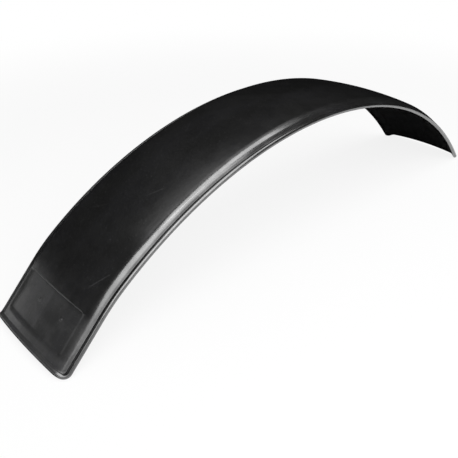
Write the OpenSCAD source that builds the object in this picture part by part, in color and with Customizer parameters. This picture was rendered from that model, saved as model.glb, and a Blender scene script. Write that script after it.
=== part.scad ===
// Arched mudguard for a wide bicycle tyre, moulded in one piece.
// The arch runs along X, and the wheel under it turns about an axle along Y. Towards -X the arch
// bends in and ends straight, so that the recessed pad there lies flat on a bracket.
// Z is up. The origin lies on the ground, midway between the two ends.

/* [Arch] */
// Radius of the crown line over the wheel, outside
crown_radius = 400; // [300:5:520]
// Angle from the top of the arch to the corner bends of its plain end
plain_end_angle = 48; // [35:0.5:75]
// Radius of the bend above the straight end with the pad
pad_bend_radius = 190; // [120:5:300]
// How far that bend turns, in degrees
pad_bend_angle = 9.5; // [4:0.5:16]

/* [Cross section] */
// Width of the gently curved crown, between the shoulders
crown_width = 87.5; // [70:0.5:150]
// Height of the crown's middle above its edges
crown_rise = 2.5; // [2:0.5:8]
// Outer radius of each shoulder
shoulder_radius = 11; // [7:0.2:16]
// Slope of the skirts below the shoulders, in degrees
skirt_slope = 43.5; // [35:0.5:75]
// Thickness of the wall
wall = 2.2; // [1.6:0.1:3.2]

/* [Rolled edge] */
// Diameter of the roll that runs round the whole edge
roll_d = 4.6; // [3.6:0.2:6]
// How far the roll stands proud of the inner face
roll_proud_inside = 0.2; // [0.1:0.1:0.6]
// Radius of the roll's centre line round the four corners, and depth of the skirts
corner_bend = 5; // [4:0.5:12]

/* [Fixing pad] */
// Length of the recessed pad, along the arch
pad_length = 38.5; // [20:0.5:80]
// Strip of crown left beside the pad, on each side
pad_side_gap = 2.5; // [2:0.5:15]
// Depth of the pad below the crown
pad_depth = 0.8; // [0.4:0.1:1]
// Radius of the pad's corners
pad_corner = 4; // [2:0.5:10]
// Distance from the rolled end to the pad
pad_from_end = 10.5; // [8:0.5:60]
// Straight stretch between the pad and the bend above it
pad_to_bend = 3; // [1:0.5:20]

/* [Drill marks] */
// Distance between the two drill marks
mark_spacing = 34; // [15:1:40]
// How far the marks lie past the middle of the pad, away from the rolled end
mark_past_middle = 3.75; // [0:0.25:8]
// Sideways shift of the pair of marks from the middle of the pad
mark_shift = 6; // [0:0.5:12]
// Diameter of a mark where it rises from the pad
mark_d = 2.8; // [2:0.2:5]
// Height of a mark
mark_height = 0.6; // [0.3:0.1:0.8]

/* [Hidden] */

// Steps of a full turn for the arch, for the bends and for the round of the roll
arch_steps = 240;
bend_steps = 96;
roll_steps = 32;
// Flat strips across half of the crown, and across each shoulder
crown_strips = 6;
shoulder_strips = 10;
// How far a cutter reaches past what it cuts, and how far the wall runs on past the corner bends
// before its ends are trimmed
cut_over = 2;
wall_overrun = corner_bend + 4;

roll_r = roll_d / 2;
// Depth of the roll's centre line below the outer face
roll_depth = wall + roll_proud_inside - roll_r;
// Each bend of the roll or the wall laps over its neighbours, and is a hair thicker so that it
// swallows their ends
bend_lap = 0.3;
bend_swell = 0.03;
// How far the wall's corners stop short of the roll's centre line, inside the roll
corner_setback = 0.5;

// The crown's arc across the width: its radius, its half angle and its centre's distance from the axle
cross_radius = (pow(crown_width / 2, 2) + pow(crown_rise, 2)) / (2 * crown_rise);
cross_angle = asin(crown_width / 2 / cross_radius);
cross_centre = crown_radius - cross_radius;

// Centre of a shoulder's arc: its distances from the middle of the width and from the axle
shoulder_y = (cross_radius - shoulder_radius) * sin(cross_angle);
shoulder_z = cross_centre + (cross_radius - shoulder_radius) * cos(cross_angle);

// The roll's centre line where it leaves the shoulder, and where it lies along the rim
shoulder_roll = shoulder_radius - roll_depth;
bend_y = shoulder_y + shoulder_roll * sin(skirt_slope);
bend_z = shoulder_z + shoulder_roll * cos(skirt_slope);
rim_y = bend_y + corner_bend * cos(skirt_slope);
rim_z = bend_z - corner_bend * sin(skirt_slope);

// Length of the straight end, from the bend to its corner bends, and height of the bend's own axis
straight_length = pad_from_end + pad_length + pad_to_bend - corner_bend;
bend_centre = crown_radius - pad_bend_radius;

// The guard stands on its four corner bends. Height above the axle of such a bend's lowest point, at an
// end that slopes by an angle and whose crown line starts its corner bends at a height
function foot_height(crown_height, angle) =
    crown_height - (crown_radius - bend_z) * cos(angle)
        - corner_bend * sqrt(pow(sin(angle), 2) + pow(sin(skirt_slope) * cos(angle), 2));

plain_foot = foot_height(crown_radius * cos(plain_end_angle), plain_end_angle);

// The same height at the end with the pad, where the bend starts at an angle from the top
function pad_foot(start) =
    let (angle = start + pad_bend_angle)
        foot_height(
            bend_centre * cos(start) + pad_bend_radius * cos(angle) - straight_length * sin(angle),
            angle
        );

// The bend starts where both ends stand on the same ground. Each step comes closer to that angle
function level_start(start, steps) =
    steps == 0 ? start
        : level_start(start + (pad_foot(start) - plain_foot) / crown_radius * 180 / PI, steps - 1);

bend_start = level_start(plain_end_angle - pad_bend_angle, 30);
pad_end_angle = bend_start + pad_bend_angle;
foot_z = plain_foot - (roll_r + 2 * bend_swell);

// How far an end reaches out, where its crown line starts its corner bends at a distance from the axle
function end_reach(crown_x, angle) = crown_x - roll_depth * sin(angle) + corner_bend * cos(angle);

plain_reach = end_reach(crown_radius * sin(plain_end_angle), plain_end_angle);
pad_crown_x = bend_centre * sin(bend_start) + pad_bend_radius * sin(pad_end_angle);
pad_reach = end_reach(pad_crown_x + straight_length * cos(pad_end_angle), pad_end_angle);

// Distances from the rolled end to the middle of the pad and to the drill marks
pad_middle = pad_from_end + pad_length / 2;
mark_from_end = pad_middle + mark_past_middle;

// Points on an arc from one angle to another, both measured from straight up
function arc(centre, radius, from, to, strips) = [
    for (i = [0 : strips])
        let (angle = from + (to - from) * i / strips)
            centre + radius * [sin(angle), cos(angle)]
];

// The crown's curve from the middle of the width to the shoulder, at a depth below its outer face
function crown_curve(depth) = arc([0, cross_centre], cross_radius - depth, 0, cross_angle, crown_strips);

// The same curve carried on round the shoulder and down a length of skirt
function wall_curve(depth, skirt) =
    let (
        middle = [shoulder_y, shoulder_z],
        shoulder = arc(middle, shoulder_radius - depth, cross_angle, skirt_slope, shoulder_strips),
        down_skirt = skirt * [cos(skirt_slope), -sin(skirt_slope)]
    )
    concat(crown_curve(depth), shoulder, [shoulder[shoulder_strips] + down_skirt]);

// The closed outline between two curves that start at the middle, with its mirror image on the left
function outline(upper, lower) =
    let (
        right = concat(upper, [for (i = [len(lower) - 1 : -1 : 0]) lower[i]]),
        left = [for (i = [len(right) - 2 : -1 : 1]) [-right[i][0], right[i][1]]]
    )
    concat(right, left);

// The outline of the wall, a little larger all round by a swell
function wall_outline(swell) =
    outline(wall_curve(-swell, corner_bend + swell), wall_curve(wall + swell, corner_bend + swell));

// Draws its children, and again mirrored across the width
module both_sides() {
    children();
    mirror([0, 1, 0]) children();
}

// Sweeps a section about the axle, between two angles from the top of the arch.
// The section lies flat: its X is the distance from the middle of the width, its Y that from the axle.
module sweep_round_axle(from, to) {
    rotate([90, 0, 0])
        rotate_extrude(angle = to - from, start = 90 - to, $fn = arch_steps)
            rotate(-90)
                children();
}

// Sweeps the same section straight along X
module sweep_straight(length) {
    rotate([90, 0, 90])
        linear_extrude(length)
            children();
}

// Sets its children on a radius of the arch: X runs down towards the end, Z away from the axle
module on_radius(angle) {
    rotate([0, angle, 0]) children();
}

// Sets its children on the axis of the bend towards the pad, with X and Z as at the bend's start
module on_bend_axis() {
    mirror([1, 0, 0])
        on_radius(bend_start)
            translate([0, 0, bend_centre])
                children();
}

// Sets its children on the straight end with the pad, at a distance past the bend: X runs down
// towards the end, and the crown lies as far along Z as it does from the axle elsewhere
module on_straight(distance) {
    on_bend_axis()
        on_radius(pad_bend_angle)
            translate([distance, 0, -bend_centre])
                children();
}

// Puts its children at both ends of the guard, where the corner bends start
module both_ends() {
    on_radius(plain_end_angle) children();
    on_straight(straight_length) children();
}

// Sets its children on the slope of the skirt: Y runs down the skirt, Z away from its outer side
module on_skirt() {
    translate([0, shoulder_y, shoulder_z])
        rotate([-skirt_slope, 0, 0])
            children();
}

// Everything past the line of the roll at one end, with the corners cut round
module end_trim() {
    reach = crown_radius / 10;
    translate([corner_bend, -crown_width, crown_radius / 2])
        cube([reach, 2 * crown_width, crown_radius]);
    both_sides()
        on_skirt()
            translate([0, 0, shoulder_radius - wall - cut_over])
                linear_extrude(wall + 2 * cut_over)
                    difference() {
                        square(corner_bend + cut_over);
                        circle(r = corner_bend - corner_setback, $fn = bend_steps);
                    }
}

// The bare wall: crown, shoulders and skirts along the arch, the bend and the straight end, trimmed
// at both ends
module wall_sweep() {
    overrun_angle = wall_overrun / crown_radius * 180 / PI;
    difference() {
        union() {
            sweep_round_axle(-bend_start, plain_end_angle + overrun_angle)
                polygon(wall_outline(0));
            round_bend()
                polygon(wall_outline(bend_swell));
            on_straight(0)
                sweep_straight(straight_length + wall_overrun)
                    polygon(wall_outline(0));
        }
        both_ends() end_trim();
    }
}

// Sweeps a section round the bend above the pad, lapping past both of its ends
module round_bend() {
    lap_angle = bend_lap / pad_bend_radius * 180 / PI;
    on_bend_axis()
        sweep_round_axle(-lap_angle, pad_bend_angle + lap_angle)
            translate([0, -bend_centre])
                children();
}

// A round section at the right rim of the wheel opening
module rim_circle(radius) {
    translate([rim_y, rim_z])
        circle(r = radius, $fn = roll_steps);
}

// The roll along both rims of the wheel opening
module rim_rolls() {
    both_sides() {
        sweep_round_axle(-bend_start, plain_end_angle)
            rim_circle(roll_r);
        round_bend()
            rim_circle(roll_r + bend_swell);
        on_straight(0)
            sweep_straight(straight_length)
                rim_circle(roll_r);
    }
}

// A bend of the roll, from one angle to another round Z, lapping past both by a small arc
module roll_bend(radius, from, to, lap, thickness, steps) {
    lap_angle = lap / radius * 180 / PI;
    rotate_extrude(angle = to - from + 2 * lap_angle, start = from - lap_angle, $fn = steps)
        translate([radius, 0])
            circle(r = thickness, $fn = roll_steps);
}

// A bend of the roll in the plane across the arch, its angles measured from straight up
module roll_across(radius, from, to, lap, thickness, steps) {
    rotate([0, -90, 0])
        roll_bend(radius, from, to, lap, thickness, steps);
}

// The roll across one end: over the crown, round the shoulders and round the corners to the rims
module end_roll() {
    translate([corner_bend, 0, cross_centre])
        roll_across(cross_radius - roll_depth, -cross_angle, cross_angle, 0, roll_r, arch_steps);
    both_sides() {
        translate([corner_bend, shoulder_y, shoulder_z])
            roll_across(shoulder_roll, cross_angle, skirt_slope, bend_lap, roll_r + bend_swell, bend_steps);
        on_skirt()
            translate([0, 0, shoulder_roll])
                roll_bend(corner_bend, 0, 90, bend_lap, roll_r + 2 * bend_swell, bend_steps);
    }
}

// A rectangle with round corners, about the origin
module rounded_rectangle(length, width, radius) {
    square([length - 2 * radius, width], center = true);
    square([length, width - 2 * radius], center = true);
    for (x = [-1, 1], y = [-1, 1])
        translate([x * (length / 2 - radius), y * (width / 2 - radius)])
            circle(r = radius, $fn = bend_steps);
}

// What the recessed pad takes out of the crown: its floor follows the crown
module pad_recess() {
    on_straight(straight_length + corner_bend - pad_middle)
        intersection() {
            translate([-pad_length, 0, 0])
                sweep_straight(2 * pad_length)
                    polygon(outline(crown_curve(-cut_over), crown_curve(pad_depth)));
            translate([0, 0, crown_radius / 2])
                linear_extrude(crown_radius)
                    rounded_rectangle(pad_length, crown_width - 2 * pad_side_gap, pad_corner);
        }
}

// A low dome on the pad's floor that shows where to drill, at a distance from the middle
module drill_mark(y) {
    dome_radius = (pow(mark_d / 2, 2) + pow(mark_height, 2)) / (2 * mark_height);
    root = (wall - pad_depth) / 2;
    on_straight(straight_length + corner_bend - mark_from_end)
        translate([0, 0, cross_centre])
            rotate([-asin(y / cross_radius), 0, 0])
                translate([0, 0, cross_radius - pad_depth])
                    intersection() {
                        translate([0, 0, mark_height - dome_radius])
                            sphere(r = dome_radius, $fn = roll_steps);
                        translate([0, 0, -root])
                            cylinder(r = dome_radius + cut_over, h = root + dome_radius, $fn = roll_steps);
                    }
}

// The whole guard: the wall with its rolled edge, and the pad at one end
module mudguard() {
    color([0.09, 0.09, 0.095])
        translate([(pad_reach - plain_reach) / 2, 0, -foot_z]) {
            difference() {
                union() {
                    wall_sweep();
                    rim_rolls();
                    both_ends() end_roll();
                }
                pad_recess();
            }
            for (side = [-1, 1])
                drill_mark(side * mark_spacing / 2 - mark_shift);
        }
}

mudguard();
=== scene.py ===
# %% [markdown]
# # A moulded rubber mudguard for a wide bicycle tyre
#
# The real guard comes out of its mould in one piece: a long arch of black rubber with a gently
# crowned top, sloping skirts and a round bead, the roll, that runs right round its edge.
# This lesson makes it in the order in which it is easiest to think about it. A flat mat gets its
# corners, its recess and its roll, and is then folded over the width of the tyre and bent round the wheel.

import math

import bmesh
import bpy
from mathutils import Matrix, Vector


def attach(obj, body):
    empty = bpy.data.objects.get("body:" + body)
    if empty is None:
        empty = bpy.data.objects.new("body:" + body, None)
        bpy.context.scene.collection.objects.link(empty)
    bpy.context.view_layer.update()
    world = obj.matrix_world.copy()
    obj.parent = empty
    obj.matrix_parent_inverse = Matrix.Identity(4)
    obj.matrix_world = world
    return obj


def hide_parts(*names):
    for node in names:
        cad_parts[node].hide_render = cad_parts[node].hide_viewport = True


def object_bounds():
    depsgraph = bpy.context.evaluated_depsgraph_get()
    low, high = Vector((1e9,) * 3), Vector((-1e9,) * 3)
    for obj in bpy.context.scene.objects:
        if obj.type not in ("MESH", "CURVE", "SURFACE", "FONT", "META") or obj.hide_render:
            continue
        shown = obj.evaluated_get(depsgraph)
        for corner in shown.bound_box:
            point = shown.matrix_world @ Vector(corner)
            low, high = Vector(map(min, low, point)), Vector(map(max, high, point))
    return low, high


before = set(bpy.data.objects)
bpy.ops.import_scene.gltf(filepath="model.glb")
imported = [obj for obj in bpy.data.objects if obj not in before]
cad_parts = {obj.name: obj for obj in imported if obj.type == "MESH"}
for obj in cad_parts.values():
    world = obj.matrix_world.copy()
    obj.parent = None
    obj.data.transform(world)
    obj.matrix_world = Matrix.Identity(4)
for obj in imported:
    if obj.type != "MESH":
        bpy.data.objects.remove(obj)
cad_low, cad_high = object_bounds()
print("the frame is", [round(size, 4) for size in cad_high - cad_low], "m")

# %% [markdown]
# ## The sizes
#
# Everything is in metres, in the frame's own axes: the arch runs along X, the axle along Y, and Z is up.
# The sizes that set the guard's form are written once here, and those of its small details where they
# are made. The rest follows from them, so that the mat's flat outline fits the folded guard exactly.

# %% Name the sizes
MM = 0.001
crown_radius = 400 * MM
plain_end_angle = math.radians(48)
pad_bend_radius = 190 * MM
pad_bend_angle = math.radians(9.5)
crown_width = 87.5 * MM
crown_rise = 2.5 * MM
shoulder_radius = 11 * MM
skirt_slope = math.radians(43.5)
wall = 2.2 * MM
roll_depth = 0.1 * MM
corner_bend = 5 * MM
pad_length = 38.5 * MM
pad_from_end = 10.5 * MM
pad_to_bend = 3 * MM

cross_radius = ((crown_width / 2) ** 2 + crown_rise ** 2) / (2 * crown_rise)
cross_angle = math.asin(crown_width / 2 / cross_radius)
crown_half = cross_radius * cross_angle
shoulder_length = shoulder_radius * (skirt_slope - cross_angle)
half_width = crown_half + shoulder_length + corner_bend
print("across the flat mat, the middles of the rolls are", round(2 * half_width / MM, 1), "mm apart")

# %% [markdown]
# ## Where the arch gives way to the straight end
#
# The guard rests on the lowest points of both its ends. The plain end's height follows from its angle.
# The pad's end lies beyond a tighter bend and a straight, so its height depends on where that bend
# starts. A formula for the start would be long. It is simpler to try a start, measure the gap and move
# the start by it, and a few rounds of that come to the right place.

# %% Find where the bend starts
cross_centre = crown_radius - cross_radius
shoulder_y = (cross_radius - shoulder_radius) * math.sin(cross_angle)
shoulder_z = cross_centre + (cross_radius - shoulder_radius) * math.cos(cross_angle)
skirt_top = shoulder_z + (shoulder_radius - roll_depth) * math.cos(skirt_slope)
straight_length = pad_from_end + pad_length + pad_to_bend
bend_centre = crown_radius - pad_bend_radius


def foot_height(crown_height, slope):
    """Height above the axle of an end's lowest point, from its crown's height where the corners start."""
    corner_drop = corner_bend * math.hypot(math.sin(slope), math.sin(skirt_slope) * math.cos(slope))
    return crown_height - (crown_radius - skirt_top) * math.cos(slope) - corner_drop


plain_foot = foot_height(crown_radius * math.cos(plain_end_angle), plain_end_angle)
bend_start = plain_end_angle - pad_bend_angle
for step in range(30):
    pad_slope = bend_start + pad_bend_angle
    pad_height = bend_centre * math.cos(bend_start) + pad_bend_radius * math.cos(pad_slope)
    pad_height -= (straight_length - corner_bend) * math.sin(pad_slope)
    bend_start += (foot_height(pad_height, pad_slope) - plain_foot) / crown_radius

bend_from_top = crown_radius * bend_start
bend_length = pad_bend_radius * pad_bend_angle
pad_end_from_top = bend_from_top + bend_length + straight_length
plain_end_from_top = crown_radius * (plain_end_angle + math.asin(corner_bend / crown_radius))
half_length = (pad_end_from_top + plain_end_from_top) / 2
print("the bend starts", round(math.degrees(bend_start), 2), "degrees from the top")
print(f"the flat mat is {2 * half_length:.3f} by {2 * half_width:.3f} m between the middles of its rolls")

# %% [markdown]
# ## Lines for the flat mat
#
# The mat could be made from one grid of equal squares, but the recess and the corners need lines where
# their edges run, and the long plain crown needs few. So the places of the lines are listed first: close
# together where the shape turns, wide apart where it runs on, and with a cell of its own round each
# drill mark. The mat stops a little inside the roll, which is added later.

# %% Choose where the lines run
mat_gap = 3.2 * MM
mat_x = half_length - mat_gap
mat_y = half_width - mat_gap
mat_corner = corner_bend - mat_gap
pad_half_width = 41.25 * MM
pad_corner = 4 * MM
step_width = 0.35 * MM
mark_from_end = 33.5 * MM
mark_places = (11 * MM, -23 * MM)
mark_cell = 2.4 * MM


def spread(start, end, parts):
    """Places from start up to end, in equal steps, without the end."""
    return [start + (end - start) * i / parts for i in range(parts)]


def from_end(distance):
    """Where a place lies along the mat, by its distance from the roll at the end with the pad."""
    return distance - half_length


def clear_of_marks(places, marks):
    """The places, with the lines round each drill mark moved to the edges of a cell of its own."""
    kept = [place for place in places if all(abs(place - mark) > mark_cell for mark in marks)]
    return kept + [mark + side * mark_cell for mark in marks for side in (-1, 1)]


pad_start = from_end(pad_from_end)
pad_end = pad_start + pad_length
pad_side = cross_radius * math.asin(pad_half_width / cross_radius)

along = spread(-mat_x + mat_corner / 5, -mat_x + mat_corner, 4)
along += spread(-mat_x + mat_corner, pad_start, 4)
along += spread(pad_start, pad_start + pad_corner, 5)
along += spread(pad_start + pad_corner, pad_end - pad_corner, 12)
along += spread(pad_end - pad_corner, pad_end - step_width, 5)
along += [pad_end - step_width, pad_end - step_width / 2, pad_end, pad_end + step_width]
along += spread(pad_end + 3 * MM, mat_x - mat_corner, 158)
along += spread(mat_x - mat_corner, mat_x, 5)
along = clear_of_marks(along, [from_end(mark_from_end)])

across = spread(0, pad_side - pad_corner, 14)
across += spread(pad_side - pad_corner, pad_side, 6)
across += spread(pad_side, crown_half, 2)
across += spread(crown_half, crown_half + shoulder_length, 16)
across += spread(crown_half + shoulder_length, mat_y, 5)
across = clear_of_marks(across + [-place for place in across if place > 0], mark_places)
print(len(along), "lines run across the mat, and", len(across), "along it")

# %% [markdown]
# ## The flat mat
#
# The moulding has one unbroken skin, so the guard starts as a single face. Subdividing it would give even
# squares. Straight cuts put each line at the very place that the list asks for. Each point of the mat
# also carries a number, 0 for the outer side and 1 for the underside, by which the rubber's finish
# will tell the two sides apart.

# %% Cut the mat
mat = bmesh.new()
inside_layer = mat.verts.layers.float.new("inside")
bmesh.ops.create_grid(mat, x_segments=1, y_segments=1, size=1)
bmesh.ops.scale(mat, vec=(mat_x, mat_y, 1), verts=mat.verts)


def cut(bm, place, normal):
    """A straight cut through the whole mat."""
    everything = bm.verts[:] + bm.edges[:] + bm.faces[:]
    bmesh.ops.bisect_plane(bm, geom=everything, dist=1e-7, plane_co=place, plane_no=normal)


for place in across:
    cut(mat, (0, place, 0), (0, 1, 0))
for place in along:
    cut(mat, (place, 0, 0), (1, 0, 0))
print("the mat has", len(mat.faces), "faces")

# %% [markdown]
# ## Rounding corners inside a grid
#
# The skirts end in round corners, and so does the recess. A bevel would make them, but it leaves fans
# of narrow faces that catch the light. Here each point is pressed in from the square corner onto a
# quarter of a disc. The lines stay lines, only curved, so the faces stay four-sided. Past the recess's
# corners the move dies away over a few millimetres.

# %% Round the corners
def rounded(x, y, corner_x, corner_y, size):
    """A point beside a square corner, after the corner is pressed round. The corner points away from 0."""
    u = (abs(x) - (corner_x - size)) / size
    v = (abs(y) - (corner_y - size)) / size
    if u <= 0 or v <= 0 or max(u, v) >= 2:
        return x, y
    inner_u = min(u, 1)
    inner_v = min(v, 1)
    share = min(1, 2 - max(u, v)) ** 2
    u += share * (inner_u * math.sqrt(1 - inner_v ** 2 / 2) - inner_u)
    v += share * (inner_v * math.sqrt(1 - inner_u ** 2 / 2) - inner_v)
    return math.copysign(corner_x - size + u * size, x), math.copysign(corner_y - size + v * size, y)


pad_middle = (pad_start + pad_end) / 2
grid_place = {}
for vert in mat.verts:
    x, y = vert.co.xy
    grid_place[vert] = (x, y)
    near_x, y = rounded(x - pad_middle, y, pad_length / 2, pad_side, pad_corner)
    vert.co.xy = rounded(near_x + pad_middle, y, mat_x, mat_y, mat_corner)
print("the mat's corner has a radius of", round(mat_corner / MM, 1), "mm")

# %% [markdown]
# ## The recess and the underside
#
# The straight end has a shallow recess in its crown for a bracket. A Boolean with a block would cut it,
# but would leave ragged faces round its edge. So the mat's points are pressed down instead. The edge
# towards the top of the arch is a crisp step, and the other three slope in over a few millimetres. The
# depth is worked out from each point's place on the straight grid, before its corners were rounded, so
# the slopes run round the corners as the lines do. The mat is doubled before that, one wall lower, and
# so the underside stays plain.

# %% Double the mat and press the recess
pad_depth = 0.8 * MM
slope_width = 3.6 * MM


def ease(share):
    """A smooth rise from 0 to 1."""
    share = min(max(share, 0), 1)
    return share * share * (3 - 2 * share)


def recess_depth(x, y):
    """How far the recess goes down at a place on the straight grid."""
    step = ease((pad_end - x) / step_width)
    slopes = ease((x - pad_start) / slope_width + 0.5) * ease((pad_side - abs(y)) / slope_width + 0.5)
    return pad_depth * step * slopes


underside = bmesh.ops.duplicate(mat, geom=mat.verts[:] + mat.edges[:] + mat.faces[:])["geom"]
under_verts = [item for item in underside if isinstance(item, bmesh.types.BMVert)]
under_faces = [item for item in underside if isinstance(item, bmesh.types.BMFace)]
bmesh.ops.reverse_faces(mat, faces=under_faces)
bmesh.ops.translate(mat, vec=(0, 0, -wall), verts=under_verts)
for vert in under_verts:
    vert[inside_layer] = 1
for vert, (x, y) in grid_place.items():
    vert.co.z -= recess_depth(x, y)
print("the recess is", round(-min(v.co.z for v in grid_place) / MM, 2), "mm deep")

# %% [markdown]
# ## The drill marks
#
# Two low domes on the recess floor show where a bracket's holes go. Two sunk balls would look the same
# from afar, but they would only cross the floor. Here each dome grows out of one square cell of the
# mat: the cell's edges get more points, an inset makes them a ring that is drawn onto a circle, and
# further insets, each a little higher, follow the dome's arc up to its top.

# %% Raise the drill marks
mark_radius = 1.4 * MM
mark_height = 0.6 * MM
dome_radius = (mark_radius ** 2 + mark_height ** 2) / (2 * mark_height)
dome_angle = math.asin(mark_radius / dome_radius)
dome_rings = 5


def raise_mark(bm, centre):
    """Turns the cell round a centre into a low dome."""
    cell = min(
        (face for face in bm.faces if face.normal.z > 0.5),
        key=lambda face: (face.calc_center_median().xy - centre).length,
    )
    bmesh.ops.subdivide_edges(bm, edges=cell.edges[:], cuts=3)
    bmesh.ops.inset_individual(bm, faces=[cell], thickness=mark_cell / 5)
    floor_height = cell.calc_center_median().z
    for vert in cell.verts:
        spoke = vert.co.xy - centre
        turn = round(math.atan2(spoke.y, spoke.x) / (math.tau / 16)) * math.tau / 16
        vert.co.xy = centre + mark_radius * Vector((math.cos(turn), math.sin(turn)))
    for ring in range(1, dome_rings):
        angle = dome_angle * (1 - ring / dome_rings)
        narrower = dome_radius * (math.sin(angle + dome_angle / dome_rings) - math.sin(angle))
        bmesh.ops.inset_individual(bm, faces=[cell], thickness=narrower)
        for vert in cell.verts:
            vert.co.z = floor_height + mark_height - dome_radius * (1 - math.cos(angle))
    top = bmesh.ops.poke(bm, faces=[cell])["verts"][0]
    top.co.z = floor_height + mark_height


mat.normal_update()
for mark_y in mark_places:
    raise_mark(mat, Vector((from_end(mark_from_end), mark_y)))
print("the mat has", len(mat.faces), "faces with its underside and marks")

# %% [markdown]
# ## The roll's section
#
# The roll stiffens the guard's edge. Its section is written down first, as a row of points out from the
# mat's rim: up a small fillet, round the roll's circle, and in under the wall. The fillet could be
# bevelled in afterwards, but a bevel between two curved skins seldom comes out even. As the first few
# points of the section it costs nothing.

# %% Write down the roll's section
fillet = 0.5 * MM
roll_radius = 2.3 * MM
fillet_x = -math.sqrt((roll_radius + fillet) ** 2 - (fillet + roll_depth) ** 2)
fillet_end = -math.asin((fillet + roll_depth) / (roll_radius + fillet))
roll_start = math.pi + fillet_end
under_drop = wall - roll_depth
roll_end = -math.pi + math.asin(under_drop / roll_radius)


def arc(centre_x, centre_z, radius, start, end, steps):
    """Points on an arc, as distances outward from the middle of the roll and heights over the mat."""
    angles = [start + (end - start) * i / steps for i in range(steps + 1)]
    return [(centre_x + radius * math.cos(a), centre_z + radius * math.sin(a)) for a in angles]


roll_curve = arc(fillet_x, fillet, fillet, -math.pi / 2, fillet_end, 5)
roll_curve += arc(0, -roll_depth, roll_radius, roll_start, roll_end, 34)[1:]
roll_curve += [(-mat_gap / 2, -wall), (-mat_gap, -wall)]
print("the section has", len(roll_curve), "points, and its roll is", 2 * roll_radius, "m thick")

# %% [markdown]
# ## The roll
#
# The roll could be a tube laid along the edge, but then wall and roll would only cross each other.
# On a moulded part they are one skin. So the mat's rim is drawn out again and again, once for each
# point of the section. The last ring lies on the rim of the underside and is joined to it. The
# extrusions list their new faces in no fixed order, so in the end the faces are sorted by place, and each
# run writes the same mesh.

# %% Draw out the roll
def outward(x, y):
    """The direction straight out over the mat's rim, at a place on or past the rim."""
    over_x = max(abs(x) - (mat_x - mat_corner), 0)
    over_y = max(abs(y) - (mat_y - mat_corner), 0)
    return Vector((math.copysign(over_x, x), math.copysign(over_y, y), 0)).normalized()


def straight_out(x, y):
    """The same, where the sides of the mat are straight and only its corners are round."""
    direction = outward(x, y)
    if abs(x) <= mat_x - mat_corner:
        direction = Vector((0, math.copysign(1, y), 0))
    if abs(y) <= mat_y - mat_corner:
        direction = Vector((math.copysign(1, x), 0, 0))
    return direction


rim = [edge for edge in mat.edges if edge.is_boundary and edge.verts[0].co.z > -wall / 2]
reach = -mat_gap
for step_out, height in roll_curve:
    drawn = bmesh.ops.extrude_edge_only(mat, edges=rim)["geom"]
    rim = [item for item in drawn if isinstance(item, bmesh.types.BMEdge)]
    for vert in {vert for edge in rim for vert in edge.verts}:
        vert.co += (step_out - reach) * straight_out(*vert.co.xy)
        vert.co.z = height
    reach = step_out
bmesh.ops.remove_doubles(mat, verts=mat.verts, dist=1e-6)
bmesh.ops.recalc_face_normals(mat, faces=mat.faces)
by_place = sorted(mat.faces, key=lambda face: face.calc_center_median()[:])
for index, face in enumerate(by_place):
    face.index = index
mat.faces.sort()
open_edges = sum(not edge.is_manifold for edge in mat.edges)
print("the mat with its roll has", len(mat.faces), "faces and", open_edges, "open edges")

# %% [markdown]
# ## Folding and bending
#
# Simple Deform could bend the mat, but only round one plain arc at a time. Here each point is placed by
# the same rule as a sheet on a former. Across the mat it follows the crown's wide arc, then the
# shoulder's tight one, then the straight skirt. The height over the mat stays square to the sheet, so the
# wall keeps its thickness. Along the mat the distance becomes an angle round the axle.

# %% Write down the fold and the bend
def folded(y, height):
    """Where a point across the mat comes to lie: its distances from the middle of the width and the axle."""
    side = abs(y)
    past_shoulder = max(side - crown_half - shoulder_length, 0)
    if side < crown_half:
        angle = side / cross_radius
        centre_y, centre_z, radius = 0, cross_centre, cross_radius + height
    else:
        angle = min(cross_angle + (side - crown_half) / shoulder_radius, skirt_slope)
        centre_y, centre_z, radius = shoulder_y, shoulder_z, shoulder_radius + height
    folded_y = centre_y + radius * math.sin(angle) + past_shoulder * math.cos(angle)
    folded_z = centre_z + radius * math.cos(angle) - past_shoulder * math.sin(angle)
    return math.copysign(folded_y, y), folded_z


def bent(from_top, from_axle):
    """Where a point along the mat comes to lie beside the top of the arch, and its height over the axle."""
    past_start = -from_top - bend_from_top
    if past_start <= 0:
        turn = from_top / crown_radius
        return from_axle * math.sin(turn), from_axle * math.cos(turn)
    turn = bend_start + min(past_start / pad_bend_radius, pad_bend_angle)
    past_bend = max(past_start - bend_length, 0)
    from_bend_axis = from_axle - bend_centre
    out = bend_centre * math.sin(bend_start) + from_bend_axis * math.sin(turn) + past_bend * math.cos(turn)
    up = bend_centre * math.cos(bend_start) + from_bend_axis * math.cos(turn) - past_bend * math.sin(turn)
    return -out, up


print("each side edge comes to lie", round(folded(half_width, 0)[0], 4), "m from the middle")

# %% [markdown]
# ## Placing every point
#
# Before the points move, the corners of each face note where they lie on the flat mat. The notes are a
# UV map, and the rubber's marks are laid out on it, as if they were drawn on the mat before it was
# folded. Then the two rules carry each point to its place. The top of the arch is found from the plain
# end of the frame's box.

# %% Fold the mat over the tyre and bend it round the wheel
plain_reach = (crown_radius - roll_depth) * math.sin(plain_end_angle)
plain_reach += corner_bend * math.cos(plain_end_angle) + roll_radius
top = Vector((cad_high.x - plain_reach, 0, cad_high.z))
top_on_mat = pad_end_from_top - half_length

flat_map = mat.loops.layers.uv.new("flat_mat")
for face in mat.faces:
    face.smooth = True
    for loop in face.loops:
        loop[flat_map].uv = loop.vert.co.xy / half_length
for vert in mat.verts:
    y, from_axle = folded(vert.co.y, vert.co.z)
    x, height = bent(vert.co.x - top_on_mat, from_axle)
    vert.co = top + Vector((x, y, height - crown_radius))

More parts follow.
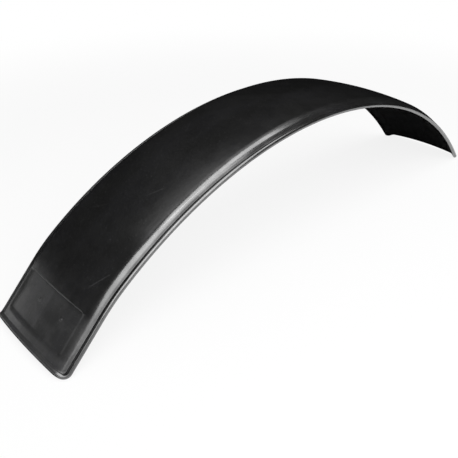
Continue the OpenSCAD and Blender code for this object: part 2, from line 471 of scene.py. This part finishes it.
mudguard_mesh = bpy.data.meshes.new("moulded_mudguard")
mat.to_mesh(mudguard_mesh)
mat.free()
moulded_mudguard = bpy.data.objects.new("moulded_mudguard", mudguard_mesh)
bpy.context.scene.collection.objects.link(moulded_mudguard)
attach(moulded_mudguard, "root")
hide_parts("mudguard")
print("the guard is", [round(size, 4) for size in moulded_mudguard.dimensions], "m")

# %% [markdown]
# ## The camera
#
# The photograph was taken from the near side, a little above the guard, with a slightly long lens.
# The camera is placed from the top of the arch, and turned to its heading, its tilt and a very small roll.
# The Standard view shows a colour as it is written. Blender's own default would dull the white floor.

# %% Set up the camera
camera_data = bpy.data.cameras.new("camera")
camera_data.sensor_width = 36
camera_data.lens = 45.44
camera = bpy.data.objects.new("camera", camera_data)
heading = math.radians(42.82)
tilt_down = math.radians(31.57)
roll_left = math.radians(-0.29)
look = Matrix.Rotation(-heading, 4, "Z") @ Matrix.Rotation(math.pi / 2 - tilt_down, 4, "X")
look = look @ Matrix.Rotation(roll_left, 4, "Z")
from_top = Vector((-0.4132, -0.3686, 0.1839))
camera.matrix_world = Matrix.Translation(top + from_top) @ look
bpy.context.scene.collection.objects.link(camera)
bpy.context.scene.camera = camera
bpy.context.scene.view_settings.view_transform = "Standard"
print("the camera stands", round(from_top.length, 3), "m from the top of the arch")

# %% [markdown]
# ## The rubber
#
# Black rubber is never one flat black. The moulding has a fine grain, long faint waves where the
# compound flowed and cooled, smudges from handling, specks of dust and a few scratches. One noise
# texture would make it look like plain plastic, so each of these traces gets a small mask of its own.
# The masks are built from many nodes of the same kinds, and four helpers keep the code for them short.

# %% Make helpers for the material nodes
def add_node(tree, kind, inputs, **settings):
    """Adds a node with its settings, and sets its inputs or plugs sockets into them."""
    node = tree.nodes.new(kind)
    for name, value in settings.items():
        setattr(node, name, value)
    for name, value in inputs.items():
        if isinstance(value, bpy.types.NodeSocket):
            tree.links.new(value, node.inputs[name])
        else:
            node.inputs[name].default_value = value
    return node


def calculate(tree, operation, first, second=0.0):
    """The result of one Math node."""
    return add_node(tree, "ShaderNodeMath", {0: first, 1: second}, operation=operation).outputs[0]


def add_where(tree, value, mask, amount):
    """The value, with an amount added where a mask is 1."""
    return calculate(tree, "ADD", value, calculate(tree, "MULTIPLY", mask, amount))


def fade(tree, value, start, end, low=0.0, high=1.0):
    """A smooth change from low to high, while a value goes from start to end."""
    inputs = {"Value": value, "From Min": start, "From Max": end, "To Min": low, "To Max": high}
    return add_node(tree, "ShaderNodeMapRange", inputs, interpolation_type="SMOOTHSTEP").outputs["Result"]


print("the helpers for the nodes are ready")

# %% [markdown]
# ## Squared paper on the rubber
#
# Object coordinates would do for the fine grain, but a scratch laid out in them would be stretched where
# the skirts slope away. The UV map kept each point's place on the flat mat. Scaled back to millimetres,
# it works like squared paper that was folded and bent with the rubber. A scratch or a worn patch can be
# put where the real guard has it, by its distances from the pad's end and from the middle.

# %% Lay the squared paper
rubber = bpy.data.materials.new("satin_black_rubber")
rubber.use_nodes = True
tree = rubber.node_tree
tree.nodes.clear()

flat = add_node(tree, "ShaderNodeUVMap", {}, uv_map="flat_mat").outputs["UV"]
scale = {0: flat, "Scale": half_length / MM}
place = add_node(tree, "ShaderNodeVectorMath", scale, operation="SCALE").outputs[0]
parts = add_node(tree, "ShaderNodeSeparateXYZ", {"Vector": place}).outputs
inside = add_node(tree, "ShaderNodeAttribute", {}, attribute_name="inside").outputs["Fac"]


def mat_mm(distance):
    """The place along the mat in millimetres, by its distance in millimetres from the pad's end."""
    return distance - half_length / MM


print("the squared paper is", round(2 * half_length / MM), "mm long")

# %% [markdown]
# ## Traces of the moulding
#
# Noise stands for what the mould and the handling leave, from a fine grain to smudges as wide as a hand.
# An image of real rubber could do the same, but it would repeat or blur along so long a part, and noise
# does neither. The flow waves are stretched along the guard, as the compound ran along the mould.

# %% Make the moulding's noise
def speckle(tree, grains_per_mm, detail, stretch=(1, 1, 1)):
    """Noise on the flat mat, from 0 to 1."""
    scaled = add_node(tree, "ShaderNodeVectorMath", {0: place, 1: stretch}, operation="MULTIPLY").outputs[0]
    inputs = {"Vector": scaled, "Scale": grains_per_mm, "Detail": detail, "Roughness": 0.55}
    return add_node(tree, "ShaderNodeTexNoise", inputs).outputs["Fac"]


grain = speckle(tree, 2.6, 2.0)
peel = speckle(tree, 0.22, 3.0)
flow = speckle(tree, 0.035, 4.0, (0.35, 1, 1))
smudge = speckle(tree, 0.016, 5.0)
blotch = speckle(tree, 0.07, 5.0)
dust = fade(tree, speckle(tree, 0.7, 0.0), 0.73, 0.83)
print("grain, peel, flow, smudges, blotches and dust laid on")

# %% [markdown]
# ## Scratches
#
# A few scratches cross the crown, one of them wide and pale beside the recess. Cut into the mesh,
# hairlines would need very small faces, and a mask does as well. Each scratch has a turned ruler of its
# own, runs along the ruler's edge and fades towards both its tips.

# %% Place the scratches
def scratch(tree, start, end, width):
    """A hairline between two places: 1 on the line, 0 beside it."""
    length = math.dist(start, end)
    turn = math.atan2(end[1] - start[1], end[0] - start[0])
    inputs = {"Vector": place, "Location": (*start, 0), "Rotation": (0, 0, turn)}
    own_place = add_node(tree, "ShaderNodeMapping", inputs, vector_type="TEXTURE").outputs["Vector"]
    own_parts = add_node(tree, "ShaderNodeSeparateXYZ", {"Vector": own_place}).outputs
    from_middle = calculate(tree, "ABSOLUTE", calculate(tree, "SUBTRACT", own_parts["X"], length / 2))
    along_line = fade(tree, from_middle, length / 2, length / 5)
    across_line = fade(tree, calculate(tree, "ABSOLUTE", own_parts["Y"]), width, 0.0)
    return calculate(tree, "MULTIPLY", along_line, across_line)


scratches = [
    ((63.5, -29.5), (87.0, -42.5), 0.9),
    ((150.0, -12.0), (171.0, -25.0), 0.35),
    ((228.0, 18.0), (246.0, 31.0), 0.3),
    ((118.0, 30.0), (131.0, 12.0), 0.3),
    ((420.0, -20.0), (447.0, -6.0), 0.4),
    ((540.0, 22.0), (560.0, 4.0), 0.35),
]
scratched = 0.0
for (start_x, start_y), (end_x, end_y), width in scratches:
    line = scratch(tree, (mat_mm(start_x), start_y), (mat_mm(end_x), end_y), width)
    scratched = calculate(tree, "MAXIMUM", scratched, line)
print(len(scratches), "scratches placed")

# %% [markdown]
# ## Worn places
#
# The pad's floor, a lighter patch on it and the end round the pad differ in tone and gloss. They could
# be painted by hand, but each is a plain rectangle with soft edges, so four numbers and a softness
# make its mask. The distance from the rim tells where the roll is, and where the crease beside it.

# %% Place the worn patches
def patch(tree, low, high, softness):
    """A rectangle with soft edges: 1 inside, 0 outside."""
    within = 1.0
    for axis, start, end in (("X", mat_mm(low[0]), mat_mm(high[0])), ("Y", low[1], high[1])):
        rising = fade(tree, parts[axis], start - softness, start + softness)
        falling = fade(tree, parts[axis], end + softness, end - softness)
        within = calculate(tree, "MULTIPLY", within, calculate(tree, "MULTIPLY", rising, falling))
    return within


pad_floor = patch(tree, (11, -43), (48.5, 41), 1.2)
light_patch = patch(tree, (13, 0), (47, 37), 0.6)
worn_end = patch(tree, (-20, -51), (47, 60), 3.0)
end_strip = patch(tree, (-20, -51), (10, 60), 3.0)
away_from_end = fade(tree, parts["X"], mat_mm(25), mat_mm(110))

from_side = calculate(tree, "SUBTRACT", half_width / MM, calculate(tree, "ABSOLUTE", parts["Y"]))
from_tip = calculate(tree, "SUBTRACT", half_length / MM, calculate(tree, "ABSOLUTE", parts["X"]))
from_rim = calculate(tree, "MINIMUM", from_side, from_tip)
on_roll = fade(tree, from_rim, 2.6, 1.4)
beside_roll = calculate(tree, "MULTIPLY", fade(tree, from_rim, 1.9, 3.0), fade(tree, from_rim, 5.2, 3.6))
# The crease mask marks where the film is thinned beside the roll, which paints shade into the crease.
crease = calculate(tree, "MULTIPLY", beside_roll, away_from_end)
print("the worn patches, the roll and its crease are marked")

# %% [markdown]
# ## Tone and relief
#
# Apart from its gloss, the rubber gives back about one part in a hundred of the light, and a little more
# where it is scratched, dusty or worn. Its blue wavers with the flow waves, which keeps the black from
# looking painted. The relief is written in millimetres. Displacement would need millions of faces for
# it. A Bump node is enough, since nothing in it shows in outline.

# %% Mix the tone and the relief
lightness = fade(tree, smudge, 0.3, 0.75, 0.009, 0.0135)
lightness = add_where(tree, lightness, scratched, 0.022)
lightness = add_where(tree, lightness, light_patch, 0.010)
lightness = add_where(tree, lightness, worn_end, 0.006)
lightness = add_where(tree, lightness, end_strip, 0.015)
lightness = add_where(tree, lightness, inside, 0.006)
lightness = add_where(tree, lightness, dust, 0.03)
cool = calculate(tree, "MULTIPLY", lightness, fade(tree, flow, 0.3, 0.7, 0.98, 1.06))
colour = add_node(tree, "ShaderNodeCombineColor", {"Red": lightness, "Green": lightness, "Blue": cool})

relief = calculate(tree, "MULTIPLY", grain, 0.012)
relief = add_where(tree, relief, peel, 0.035)
relief = add_where(tree, relief, flow, 0.16)
relief = add_where(tree, relief, scratched, -0.03)
bump = add_node(tree, "ShaderNodeBump", {"Strength": 1.0, "Distance": MM, "Height": relief})
print("tone and relief mixed")

# %% [markdown]
# ## A body and a film
#
# The sharp bright line on the shoulder and the wide soft glow beside it can't come from one gloss. So a
# thin glossy film lies over a duller body, which the Principled shader offers as its coat. The film is
# weaker at the worn end, on the pad's floor and on the underside. In the crease beside the roll it is mostly
# taken away, which paints shade into the crease. Its roughness is one plain number, because an exported
# model keeps no more of it than that.

# %% Finish the rubber
film = fade(tree, smudge, 0.3, 0.7, 0.8, 1.0)
film = calculate(tree, "MULTIPLY", film, fade(tree, away_from_end, 0.0, 1.0, 0.4, 1.0))
film = add_where(tree, film, on_roll, 0.35)
film = add_where(tree, film, pad_floor, -0.25)
film = add_where(tree, film, light_patch, 0.08)
# Painted shade: the film is mostly taken out of the crease beside the roll.
film = add_where(tree, film, crease, -0.7)
film = add_where(tree, film, inside, -0.7)
film = calculate(tree, "MINIMUM", calculate(tree, "MAXIMUM", film, 0.0), 1.0)

body_shine = fade(tree, calculate(tree, "ADD", smudge, blotch), 0.8, 1.2, 0.35, 0.8)
body_roughness = fade(tree, flow, 0.3, 0.7, 0.30, 0.36)
body_roughness = add_where(tree, body_roughness, worn_end, 0.17)
inputs = {
    "Base Color": colour.outputs["Color"],
    "Roughness": body_roughness,
    "Normal": bump.outputs["Normal"],
    "IOR": 1.5,
    "Specular IOR Level": body_shine,
    "Coat Weight": film,
    "Coat IOR": 2.12,
    "Coat Roughness": 0.185,
    "Coat Normal": bump.outputs["Normal"],
}
surface = add_node(tree, "ShaderNodeBsdfPrincipled", inputs)
add_node(tree, "ShaderNodeOutputMaterial", {"Surface": surface.outputs["BSDF"]})
mudguard_mesh.materials.append(rubber)
print("the rubber has", len(tree.nodes), "nodes")

# %% [markdown]
# ## The floor
#
# The guard stands on a pale floor that runs on into a white room. A floor that is only lit would turn
# grey where the lamps are weak. So a ray from the camera sees part of the floor's own white and part of
# its light, which keeps the guard's shadow, and further out it sees the white alone.

# %% Lay the floor
def stage_piece(name, bm, material):
    """Makes a piece of the studio out of a bmesh."""
    mesh = bpy.data.meshes.new(name)
    bm.to_mesh(mesh)
    bm.free()
    mesh.materials.append(material)
    piece = bpy.data.objects.new(name, mesh)
    bpy.context.scene.collection.objects.link(piece)
    return piece


def seen_directly(tree):
    """1 for rays from the camera, and for those that a reflection or glass sends on."""
    rays = add_node(tree, "ShaderNodeLightPath", {}).outputs
    seen = calculate(tree, "MAXIMUM", rays["Is Camera Ray"], rays["Is Glossy Ray"])
    return calculate(tree, "MAXIMUM", seen, rays["Is Transmission Ray"])


paper = bpy.data.materials.new("white_paper")
paper.use_nodes = True
tree = paper.node_tree
tree.nodes.clear()
lit = add_node(tree, "ShaderNodeBsdfDiffuse", {"Color": (0.8, 0.8, 0.8, 1)})
white = add_node(tree, "ShaderNodeEmission", {"Color": (1, 1, 1, 1), "Strength": 1.0})
floor_place = add_node(tree, "ShaderNodeTexCoord", {}).outputs["Object"]
from_guard = add_node(tree, "ShaderNodeVectorMath", {0: floor_place}, operation="LENGTH").outputs["Value"]
share = calculate(tree, "MULTIPLY", seen_directly(tree), fade(tree, from_guard, 0.4, 1.0, 0.85, 1.0))
inputs = {0: share, 1: lit.outputs["BSDF"], 2: white.outputs["Emission"]}
mixed = add_node(tree, "ShaderNodeMixShader", inputs)
add_node(tree, "ShaderNodeOutputMaterial", {"Surface": mixed.outputs["Shader"]})

floor_mesh = bmesh.new()
bmesh.ops.create_grid(floor_mesh, x_segments=1, y_segments=1, size=3)
stage_piece("floor", floor_mesh, paper)
print("the floor has", len(paper.node_tree.nodes), "nodes in its paper")

# %% [markdown]
# ## The room
#
# The world round the floor is the white room. It could light the guard as well, but light from all
# sides would wash out the softboxes. So it is white to the camera and to reflections, and dim to the
# rays that light things.

# %% Whiten the room
world = bpy.data.worlds.new("room")
bpy.context.scene.world = world
world.use_nodes = True
tree = world.node_tree
tree.nodes.clear()
brightness = fade(tree, seen_directly(tree), 0.0, 1.0, 0.12, 1.0)
room = add_node(tree, "ShaderNodeBackground", {"Color": (1, 1, 1, 1), "Strength": brightness})
add_node(tree, "ShaderNodeOutputWorld", {"Surface": room.outputs["Background"]})
print("the room has", len(tree.nodes), "nodes")

# %% [markdown]
# ## The softboxes
#
# On black rubber a lamp is seen less by what it lights than by its own reflection. A bare bulb would be
# a hard dot, so the lamps are large rectangles. The softbox in front draws the bright line along the
# shoulder, the one overhead widens it towards the crown, and a faint one behind gives the crown its
# soft fall from the near side to the far side.

# %% Hang the softboxes
guard_middle = Vector((0, 0, 0.08))


def around(heading, height_angle, distance):
    """A place round the guard, by its compass angle from +X, its angle above the floor and its distance."""
    heading = math.radians(heading)
    height_angle = math.radians(height_angle)
    level = distance * math.cos(height_angle)
    return Vector((level * math.cos(heading), level * math.sin(heading), distance * math.sin(height_angle)))


def softbox(name, place, width, height, radiance):
    """A rectangular lamp that faces the guard. Its power follows from how bright its face is."""
    lamp_data = bpy.data.lights.new(name, "AREA")
    lamp_data.shape = "RECTANGLE"
    lamp_data.size = width
    lamp_data.size_y = height
    lamp_data.energy = radiance * math.pi * width * height
    lamp = bpy.data.objects.new(name, lamp_data)
    lamp.location = place
    lamp.rotation_euler = (place - guard_middle).to_track_quat("Z", "Y").to_euler()
    bpy.context.scene.collection.objects.link(lamp)


softbox("front_softbox", around(245, 42, 1.4), 2.0, 1.25, 3.1)
softbox("overhead_softbox", around(282, 77, 1.4), 1.3, 0.65, 3.3)
softbox("back_softbox", around(80, 74, 1.4), 1.6, 0.6, 0.5)
print("three softboxes hung")

# %% [markdown]
# ## The black cards
#
# In a white room every glossy thing reflects white, and black rubber would look grey. A darker room
# would turn the background grey instead. So black cards stand round the guard, as in a real studio. Only
# reflections see them, and they take no light from the guard. A low gap is left under the one behind
# the pad's end, which brightens that end.

# %% Stand the black cards
black = bpy.data.materials.new("black_card")
black.use_nodes = True
black.node_tree.nodes["Principled BSDF"].inputs["Base Color"].default_value = (0.0, 0.0, 0.0, 1)
black.node_tree.nodes["Principled BSDF"].inputs["Specular IOR Level"].default_value = 0.0


def curtain(name, radius, start, end, low, high):
    """A black cloth hung on an arc round the guard, between two compass angles and two heights."""
    bm = bmesh.new()
    start = math.radians(start)
    turn = math.radians(end) - start
    foot = bm.verts.new((radius * math.cos(start), radius * math.sin(start), low))
    head = bm.verts.new((foot.co.x, foot.co.y, high))
    edge = bm.edges.new((foot, head))
    bmesh.ops.spin(bm, geom=[foot, head, edge], axis=(0, 0, 1), cent=(0, 0, 0), angle=turn, steps=24)
    return stage_piece(name, bm, black)


def flat_card(name, middle, length, width):
    """A black card that lies flat, or hangs flat overhead."""
    bm = bmesh.new()
    bmesh.ops.create_grid(bm, x_segments=1, y_segments=1, size=0.5)
    bmesh.ops.scale(bm, vec=(length, width, 1), verts=bm.verts)
    bmesh.ops.translate(bm, vec=middle, verts=bm.verts)
    return stage_piece(name, bm, black)


cards = [
    curtain("black_curtain", 1.1, -65, 124, 0.0, 2.4),
    curtain("black_border", 1.1, 124, 195, 0.18, 2.4),
    curtain("front_curtain", 2.2, 190, 300, 0.25, 3.6),
    flat_card("black_card", (0.4, 0.5, 0.0005), 1.6, 1.1),
    flat_card("black_ceiling", (0, 0, 3.6), 4.8, 4.8),
]
for card in cards:
    card.visible_camera = False
    card.visible_diffuse = False
    card.visible_shadow = False
    card.visible_transmission = False
print(len(cards), "black cards stand round the guard")
